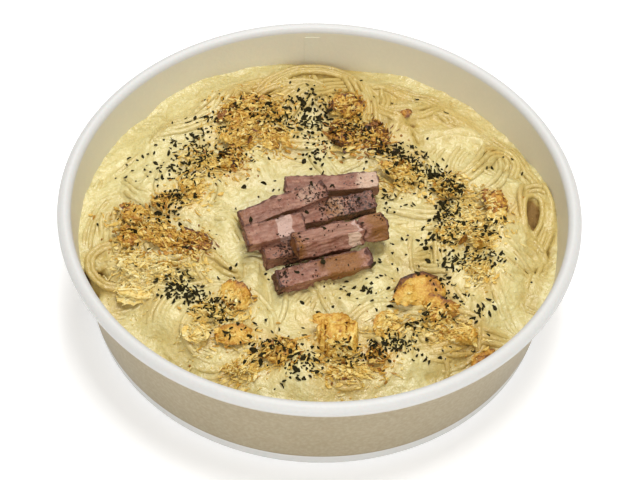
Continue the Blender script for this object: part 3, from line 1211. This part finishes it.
def copy_of(node, name):
    """A merged copy of a CAD solid, as a mesh of its own."""
    obj = bpy.data.objects.new(name, nodes[node].data.copy())
    bpy.context.scene.collection.objects.link(obj)
    only(obj)
    bpy.ops.object.mode_set(mode="EDIT")
    bpy.ops.mesh.select_all(action="SELECT")
    bpy.ops.mesh.remove_doubles(threshold=SAME_PLACE)
    bpy.ops.object.mode_set(mode="OBJECT")
    return obj


def bulge(obj, points, normals, rounds):
    """How far each point stands out from the points round it: above 0 on edges, below in folds."""
    pairs = np.empty(len(obj.data.edges) * 2, np.int32)
    obj.data.edges.foreach_get("vertices", pairs)
    first, second = pairs.reshape(-1, 2).T
    neighbours = np.bincount(pairs, minlength=len(points))
    flat = points
    for _ in range(rounds):
        flat = np.column_stack([(np.bincount(first, flat[second, axis], len(points))
                                 + np.bincount(second, flat[first, axis], len(points))) / neighbours
                                for axis in range(3)])
    return ((points - flat) * normals).sum(axis=1)


def fried_material():
    """Fried cheese and batter, from wet cream to dark brown by how toasted it is."""
    fried = Finish("fried crisp", {"Subsurface Weight": 0.08, "Subsurface Scale": 0.0008,
                                   "Subsurface Radius": (1.0, 0.6, 0.3)})
    toast = fried.vertex("toast")
    fine = fried.noise(0.7, 4.0)
    patches = fried.noise(2.2, 3.0)
    share = toast + (fine - 0.5) * 0.5 + (patches - 0.5) * 0.5
    colour = fried.ramp(share, (
        (0.00, linear(234, 220, 162)),
        (0.26, linear(229, 200, 114)),
        (0.48, linear(210, 166, 66)),
        (0.64, linear(186, 129, 36)),
        (0.82, linear(124, 72, 18)),
        (1.00, linear(56, 28, 12)),
    ))
    roughness = 0.3 + fine * 0.3
    normal = fried.bump(fine, 0.45)
    return fried.use(colour, roughness, normal)


def taken(obj):
    """The points and faces of an object that is only there to give its shape, and goes."""
    points = np.array([vert.co[:] for vert in obj.data.vertices])
    faces = shifted([face.vertices for face in obj.data.polygons], 0)
    bpy.data.objects.remove(obj)
    return points, faces


def plate_shape(along, across, taper, thickness):
    """A thin leaf 1 long and 1 wide, narrower towards its ends, as points and faces."""
    bpy.ops.mesh.primitive_grid_add(x_subdivisions=along, y_subdivisions=across, size=1.0)
    leaf = bpy.context.object
    for vert in leaf.data.vertices:
        vert.co.y *= 1.0 - taper * (2.0 * abs(vert.co.x)) ** 2.5
    body = leaf.modifiers.new("body", "SOLIDIFY")
    body.thickness = thickness
    body.offset = 0.0
    apply_modifiers(leaf)
    return taken(leaf)


def turned(draws):
    """A random turn, as a matrix."""
    axis = draws.standard_normal(3)
    return np.array(Matrix.Rotation(draws.uniform(0.0, math.tau), 3, Vector(axis).normalized()))


def lying(normal, draws, loose, heading=None):
    """A turn that lays a bit flat on a surface, give or take some tilt, along a heading or any way."""
    if heading is None:
        heading = draws.uniform(0.0, math.tau)
    else:
        heading = math.radians(heading) + draws.normal(0.0, 0.5)
    tilt = (Vector(draws.normal(0.0, loose, 3)) + Vector(normal)).normalized()
    flat = Matrix.Rotation(heading, 3, "Z")
    return np.array(Vector((0.0, 0.0, 1.0)).rotation_difference(tilt).to_matrix() @ flat)


def strewn(shape, places, sizes, turns, curls, draws):
    """Copies of a shape, each sized, curled, roughened, turned and placed."""
    base, faces = shape
    points = []
    joined = []
    for number, (place, size, turn, curl) in enumerate(zip(places, sizes, turns, curls)):
        copy = base * size
        copy[:, 2] += curl * (size[0] * (2.0 * base[:, 0]) ** 2
                              + 0.6 * size[1] * (2.0 * base[:, 1]) ** 2)
        copy += draws.normal(0.0, BIT_ROUGHNESS, copy.shape) * min(size.min(), ROUGH_UP_TO)
        points.append(copy @ turn.T + place)
        joined.extend(shifted(faces, number * len(base)))
    return np.vstack(points), joined


def fall(tree, x, y):
    """Where a bit dropped at a place comes to rest, and which way up the surface is there."""
    distance = math.hypot(x, y)
    if distance > FARTHEST_BIT:
        x, y = x * FARTHEST_BIT / distance, y * FARTHEST_BIT / distance
    hit, normal = drop(tree, x, y)
    return np.array(hit) / MM, np.array(normal)


def loose_bits(rests, heading, draws):
    """Places, sizes, turns and curls of slivers and shards that rest on a surface."""
    places, sizes, turns = [], [], []
    for rest, normal in rests:
        length = min(0.6 + draws.gamma(2.2, 0.55), LONGEST_BIT)
        if draws.random() < SLIVERS:
            width = length * draws.uniform(0.14, 0.3)
            length *= 1.3
        else:
            width = min(length, 1.8) * draws.uniform(0.4, 0.85)
        places.append(rest + normal * draws.uniform(0.1, 0.4))
        sizes.append(np.array((length, width, draws.uniform(1.0, 2.2))))
        turns.append(lying(normal, draws, 0.35, heading))
    return places, sizes, turns, draws.uniform(-0.35, 0.25, len(places))


shard = plate_shape(3, 1, SHARD_TAPER, SHARD_THICKNESS)
chip = plate_shape(10, 6, CHIP_TAPER, CHIP_THICKNESS)
fried_crisp = fried_material()
ground = tree_of(heap, *strand_pieces)
draws = np.random.default_rng(CRISP_SEED)
for number, (name, (toast, shards, chips, depth, heading)) in enumerate(CRISPS.items()):
    clump = copy_of(name, name + "_fried")
    remesh(clump, CRISP_GRAIN)
    points = points_of(clump)
    normals = normals_of(clump)
    low, high = points.min(axis=0), points.max(axis=0)
    middle = (low + high) / 2
    half = (high - low) / 2
    turn = np.array(Matrix.Rotation(math.radians(heading), 3, "Z"))
    own = (points - middle) @ turn / CRISP_STRETCH.get(name, USUAL_STRETCH)
    crags = noise_at(own, 3.4, number)
    folds = 0.4 - 2.0 * np.abs(noise_at(own, 2.6, number + 50))
    creases = 0.4 - 2.0 * np.abs(noise_at(own, 1.1, number + 90))
    lift = depth * (1.0 * crags + 0.9 * folds + 0.45 * creases) - 0.4
    flatness = CRISP_FLATNESS if depth > 0.5 else 1.0
    sideways = half * (1, 1, 0)
    spread = (CRISP_SPREAD, CRISP_SPREAD, flatness)
    body = (points - low - sideways) * spread + low + sideways
    body += normals * lift[:, None] - (0.0, 0.0, CRISP_SINK)
    folded = np.clip(-bulge(clump, body, normals, 6) / 0.3, 0.0, 1.0)
    behind = np.clip((points[:, 1] - middle[1]) / half[1] - 0.35, 0.0, 1.0)
    tint = toast + 0.06 + 0.24 * crags - 0.1 * folds + 0.3 * folded + 0.2 * behind
    blocks = [body]
    tints = [tint]
    faces = taken(clump)[1]

    upper = np.flatnonzero(normals[:, 2] > 0.1)
    chosen = draws.choice(upper, size=chips)
    sizes = [draws.uniform(SMALLEST_CHIP, LARGEST_CHIP) for _ in range(chips)]
    turns = [lying(normals[place], draws, 0.3, heading) for place in chosen]
    places = [body[place] + normals[place] * 0.4 for place in chosen]
    curls = list(draws.uniform(-0.25, 0.1, chips))
    own_tints = list(np.maximum(tint[chosen] + draws.normal(-0.05, 0.1, chips), toast + 0.02))
    far_tints = [0.1] * chips
    for owner, (x, y, over), length, width, bearing, tilt, curl, colour, far in CHIPS:
        if owner == name:
            places.append(fall(ground, x, y)[0] + (0.0, 0.0, over))
            sizes.append(np.array((length, width, min(length, 12.0))))
            tipped = Matrix.Rotation(math.radians(-tilt), 3, "X")
            turns.append(np.array(Matrix.Rotation(math.radians(bearing), 3, "Z") @ tipped))
            curls.append(curl)
            own_tints.append(colour)
            far_tints.append(far)
    if places:
        chip_points, chip_faces = strewn(chip, places, sizes, turns, curls, draws)
        chip_points += 0.5 * np.column_stack([noise_at(chip_points, 2.0, number + seed)
                                              for seed in (130, 170, 210)])
        u, v = 2.0 * chip[0][:, 0], 2.0 * chip[0][:, 1]
        rim = np.maximum(np.abs(u) ** 4, np.abs(v) ** 4)
        reach = 1.0 - CHIP_TAPER * np.abs(u) ** 2.5
        far_edge = np.clip(v / reach, 0.0, 1.0) ** 2
        faces += shifted(chip_faces, len(body))
        blocks.append(chip_points)
        chip_tints = (np.array(own_tints)[:, None] + 0.08 * rim
                      + np.array(far_tints)[:, None] * far_edge)
        tints.append(chip_tints.ravel())

    corners = np.vstack(blocks)
    here = BVHTree.FromPolygons((corners * MM).tolist(), faces)
    spots = draws.normal(middle[:2] - (0.0, FRONT_SPILL), half[:2] * 0.6 + SPILL * 0.5, (shards, 2))
    rests = []
    for spot in spots:
        over = drop(here, *spot)[0]
        under = drop(ground, *spot)[0]
        on_clump = over is not None and (under is None or over.z > under.z)
        rests.append(fall(here if on_clump else ground, *spot))
    steep = np.flatnonzero((normals[:, 2] < 0.5) & (normals[:, 2] > -0.5))
    rests += [(body[place], normals[place]) for place in draws.choice(steep, size=int(shards * ON_SIDES))]
    places, sizes, turns, curls = loose_bits(rests, heading, draws)
    shard_points, shard_faces = strewn(shard, places, sizes, turns, curls, draws)
    blocks.append(shard_points)
    faces += shifted(shard_faces, len(corners))
    tints.append(np.repeat(toast + draws.normal(-0.08, 0.12, len(places)), len(shard[0])))

    crisp = add_piece(name + "_fried", np.vstack(blocks), faces)
    carry(crisp, "toast", np.concatenate(tints))
    smooth(crisp, SHARP_ANGLE)
    dress(crisp, fried_crisp, "fried_crisp", name)


# Crumbs, parsley and pepper ---------------------------------------------------------------------
# Loose bits that lie on everything: beds of shreds and crumbs broken off the crisps, dried parsley
# in small dark curled flakes, strewn in a ring of clusters, and coarse pepper on the bacon.

# Clusters of parsley: x, y, reach along x, reach along y and the number of flakes.
PARSLEY = (
    (-6, 51, 6, 8, 108), (-3, 34, 6, 5, 24), (-19, 49, 5, 4, 28), (-27, 53, 8, 5, 12),
    (-41, 42, 9, 7, 26), (-50, 30, 9, 6, 20), (-51, 18, 6, 4, 26), (-43, 22, 6, 5, 20),
    (-34, 28, 8, 5, 14), (11, 44, 6, 5, 40), (26, 34, 5, 4, 44), (33, 29, 4, 3, 36),
    (39, 24, 5.5, 4, 80), (46.5, 16, 4, 4, 62), (45.5, 4, 3.6, 5.5, 68), (47, -5, 3.5, 3, 26),
    (41, -8, 5, 4, 16), (49, -18, 5, 3.6, 32), (58, -16, 7, 4, 36), (46, -31, 6, 5, 12),
    (58, -3, 6, 5, 20), (57, -38, 7, 6, 10), (38, -45, 6, 4, 14), (27, -56.5, 6, 3.6, 44),
    (18, -60, 5, 3, 16), (37, -59, 6, 3, 3), (-44, -38, 6, 3.6, 84), (-35, -45, 5, 4, 42),
    (-28, -52, 7, 5, 12), (-49, -31, 5, 5, 16), (-4, -67, 6, 4, 42), (-14, -61, 8, 5, 26),
    (10, -62, 6, 4, 16), (-62, -8, 10, 8, 14), (-53, 4, 4.5, 4, 30), (0, 0, 60, 60, 74),
    (26, 12, 8, 10, 10), (-66, 22, 8, 8, 6), (20, -32, 9, 9, 12),
)
PARSLEY_MORE = 2.6           # flakes tried for each one in the list, as many fall too near others
PARSLEY_APART = 0.85
PARSLEY_REACH = 83.0         # from the middle
LONGEST_FLAKE = 2.8
TOPPING_SEED = 37
CRUMBS = 700
CRUMB_SIZES = (0.4, 1.4)
PEPPER_SIZES = (0.35, 1.2)
# Where pepper lies on the bacon: x, y, reach and the number of grains.
PEPPER = (
    (1.8, 1.4, 3.0, 50), (9.5, 3.0, 4.5, 80), (-9.6, -21.4, 3.0, 70), (-11.6, -32.0, 1.8, 24),
    (-3.0, 2.5, 2.6, 26), (-11.8, -17.2, 1.6, 12), (12.0, 14.4, 5.0, 12), (21.0, -7.0, 1.6, 10),
    (4.0, -8.0, 18.0, 60), (2.0, -27.0, 12.0, 24),
)


def plain_material(name, light, dark, size, constants):
    """A speckled matt finish between two colours."""
    finish = Finish(name, constants)
    fine = finish.noise(size, 3.0)
    colour = finish.mix(finish.rise(fine, 0.3, 0.7), dark, light)
    return finish.use(colour, 0.6 + fine * 0.3, finish.bump(fine, 0.1))


def crumb_shape():
    bpy.ops.mesh.primitive_ico_sphere_add(subdivisions=1, radius=0.5)
    return taken(bpy.context.object)


def settle(spot, size_range, held):
    """Drops a grain at a spot, and keeps its place, its size and its turn."""
    rest, normal = fall(landing, *spot)
    places, sizes, turns = held
    places.append(rest + normal * 0.1)
    sizes.append(draws.uniform(*size_range) * draws.uniform(0.5, 1.0, 3))
    turns.append(turned(draws))


dried_parsley = plain_material("dried parsley", linear(50, 43, 14), linear(18, 14, 3), 0.6,
                               {"Specular IOR Level": 0.12})
black_pepper = plain_material("black pepper", linear(84, 58, 42), linear(28, 18, 12), 0.4,
                              {"Specular IOR Level": 0.2})
replacing = [obj for obj in bpy.context.scene.objects
             if obj.type == "MESH" and obj.get("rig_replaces")]
draws = np.random.default_rng(TOPPING_SEED)

landing = tree_of(*replacing, *strand_pieces)
shreds = [[], [], [], []]
shred_tints = []
for x, y, reach_along, reach_across, heading, toast, count in BEDS:
    turn = math.radians(heading)
    along, across = draws.normal(0.0, 0.55, (2, count)) * ((reach_along,), (reach_across,))
    spots = np.column_stack([x + along * math.cos(turn) - across * math.sin(turn),
                             y + along * math.sin(turn) + across * math.cos(turn)])
    rests = [fall(landing, *spot) for spot in spots]
    for held, new in zip(shreds, loose_bits(rests, heading, draws)):
        held.extend(new)
    shred_tints.extend(toast + draws.normal(-0.06, 0.13, count))
loose_shreds = add_piece("shreds", *strewn(shard, *shreds, draws))
carry(loose_shreds, "toast", np.repeat(shred_tints, len(shard[0])))
dress(loose_shreds, fried_crisp, "fried_crisp")

landing = tree_of(*replacing, *strand_pieces, loose_shreds)
places, sizes, turns = [], [], []
spots = np.full((1, 2), HALF)
for x, y, reach_x, reach_y, count in PARSLEY:
    for _ in range(int(count * PARSLEY_MORE)):
        spot = draws.normal((x, y), (reach_x * 0.64, reach_y * 0.64))
        if math.hypot(*spot) > PARSLEY_REACH or np.hypot(*(spots - spot).T).min() < PARSLEY_APART:
            continue
        spots = np.vstack([spots, spot])
        rest, normal = fall(landing, *spot)
        length = min(0.9 + draws.gamma(2.2, 0.42), LONGEST_FLAKE)
        places.append(rest + normal * 0.15)
        sizes.append(np.array([length, length * draws.uniform(0.34, 0.72), 1.3]))
        turns.append(lying(normal, draws, 0.4))
curls = draws.uniform(-0.35, 0.3, len(places))
parsley = add_piece("parsley", *strewn(shard, places, sizes, turns, curls, draws))
dress(parsley, dried_parsley, "fried_crisp")

crumb = crumb_shape()
grains = ([], [], [])
tints = []
names = list(CRISPS)
for _ in range(CRUMBS):
    name = names[draws.integers(len(names))]
    low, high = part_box(name)
    middle = (low + high) / 2 / MM
    reach = (high - low).xy.length / MM * 0.4
    settle(draws.normal((middle.x, middle.y), reach), CRUMB_SIZES, grains)
    tints.append(CRISPS[name][0] + draws.normal(-0.08, 0.16))
crumbs = add_piece("crumbs", *strewn(crumb, *grains, np.zeros(CRUMBS), draws))
carry(crumbs, "toast", np.repeat(tints, len(crumb[0])))
dress(crumbs, fried_crisp, "fried_crisp")

grains = ([], [], [])
for x, y, reach, count in PEPPER:
    for _ in range(count):
        settle(draws.normal((x, y), reach * 0.7), PEPPER_SIZES, grains)
pepper = add_piece("pepper", *strewn(crumb, *grains, np.zeros(len(grains[0])), draws))
dress(pepper, black_pepper, "bacon")
